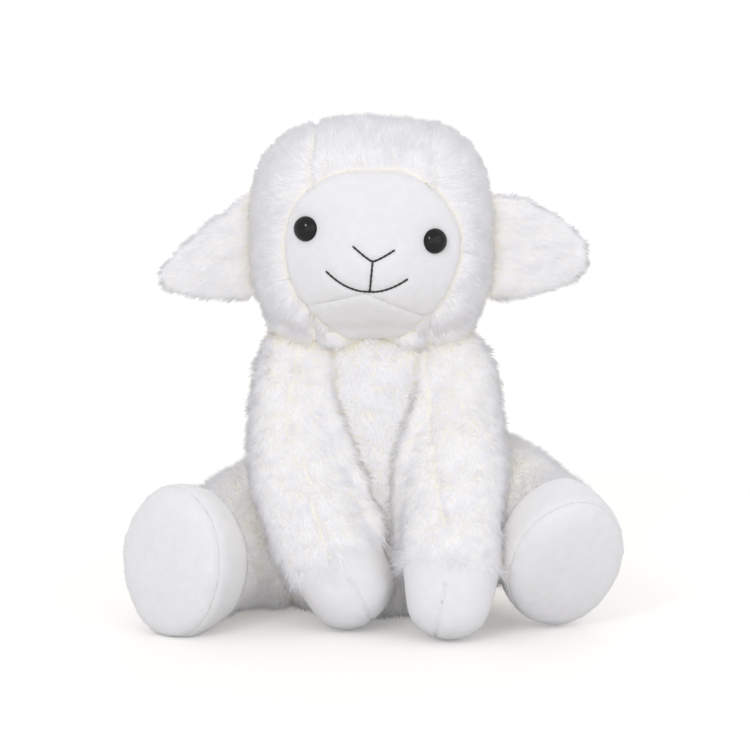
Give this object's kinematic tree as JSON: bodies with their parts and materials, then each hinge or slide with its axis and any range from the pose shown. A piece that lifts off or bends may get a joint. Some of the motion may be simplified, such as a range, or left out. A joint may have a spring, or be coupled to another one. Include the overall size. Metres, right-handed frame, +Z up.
{
  "type": "plush sheep",
  "caption": "Sitting stuffed lamb sewn from furry and smooth panels, with round eyes, stitched nose and mouth, drooping ears and soft limbs that give at their seams.",
  "frame": {"origin": "on the ground under the neck, in the plane of the flat seat panel", "axes": "+Z up, -Y the way the face looks, +X to the right for someone who looks at the face"},
  "size_m": [0.2366, 0.1805, 0.2425],
  "materials": {
    "fur_plush": "long soft white pile with a cream depth",
    "smooth_plush": "short smooth white pile",
    "fibre_filling": "loose polyester fibre",
    "lining": "plain woven cotton, filled with pellets",
    "safety_eye": "polished black",
    "lock_washer": "plain moulded",
    "black_thread": "twisted embroidery thread"
  },
  "bodies": {
    "body": {"body_cover": "fur_plush", "chest_panel": "fur_plush", "seat_panel": "smooth_plush", "body_stuffing": "fibre_filling", "pellet_bag": "lining"},
    "head": {"face_panel": "smooth_plush", "chin_panel": "smooth_plush", "head_gusset": "fur_plush", "head_side_left": "fur_plush", "head_side_right": "fur_plush", "head_stuffing": "fibre_filling", "eye_left": "safety_eye", "eye_right": "safety_eye", "eye_washer_left": "lock_washer", "eye_washer_right": "lock_washer", "nose_stitching": "black_thread", "lip_stitching": "black_thread", "mouth_stitching": "black_thread"},
    "tail": {"tail": "fur_plush"},
    "ear_left": {"ear_front_left": "fur_plush", "ear_back_left": "fur_plush"},
    "foreleg_left": {"foreleg_sleeve_left": "fur_plush", "hoof_left": "smooth_plush", "foreleg_stuffing_left": "fibre_filling"},
    "hind_leg_left": {"thigh_cover_left": "fur_plush", "foot_shell_left": "smooth_plush", "foot_sole_left": "smooth_plush", "hind_leg_stuffing_left": "fibre_filling"},
    "ear_right": {"ear_front_right": "fur_plush", "ear_back_right": "fur_plush"},
    "foreleg_right": {"foreleg_sleeve_right": "fur_plush", "hoof_right": "smooth_plush", "foreleg_stuffing_right": "fibre_filling"},
    "hind_leg_right": {"thigh_cover_right": "fur_plush", "foot_shell_right": "smooth_plush", "foot_sole_right": "smooth_plush", "hind_leg_stuffing_right": "fibre_filling"}
  },
  "joints": [
    {"name": "head_turn", "type": "hinge", "parent": "body", "child": "head", "pos_m": [0, 0, 0.136], "axis": [0, 0, 1], "range_deg": [-20, 20], "stiffness_Nm_per_rad": 0.05},
    {"name": "ear_fold_left", "type": "hinge", "parent": "head", "child": "ear_left", "pos_m": [-0.061, 0, 0.17875], "axis": [-0.1041, 0, 0.9946], "range_deg": [-30, 45], "stiffness_Nm_per_rad": 0.002},
    {"name": "ear_fold_right", "type": "hinge", "parent": "head", "child": "ear_right", "pos_m": [0.0578, 0, 0.17875], "axis": [-0.1041, 0, -0.9946], "range_deg": [-30, 45], "stiffness_Nm_per_rad": 0.002},
    {"name": "foreleg_lift_left", "type": "hinge", "parent": "body", "child": "foreleg_left", "pos_m": [-0.04, -0.008, 0.12], "axis": [-1, 0, 0], "range_deg": [0, 30], "stiffness_Nm_per_rad": 0.03},
    {"name": "foreleg_lift_right", "type": "hinge", "parent": "body", "child": "foreleg_right", "pos_m": [0.04, -0.008, 0.12], "axis": [-1, 0, 0], "range_deg": [0, 30], "stiffness_Nm_per_rad": 0.03},
    {"name": "hind_leg_splay_left", "type": "hinge", "parent": "body", "child": "hind_leg_left", "pos_m": [-0.051, 0.016, 0.0375], "axis": [0, 0, -1], "range_deg": [0, 25], "stiffness_Nm_per_rad": 0.03},
    {"name": "hind_leg_splay_right", "type": "hinge", "parent": "body", "child": "hind_leg_right", "pos_m": [0.051, 0.016, 0.0505], "axis": [0, 0, 1], "range_deg": [0, 25], "stiffness_Nm_per_rad": 0.03},
    {"name": "tail_wag", "type": "hinge", "parent": "body", "child": "tail", "pos_m": [0, 0.063, 0.042], "axis": [0, 0, 1], "range_deg": [-25, 25], "stiffness_Nm_per_rad": 0.002}
  ]
}
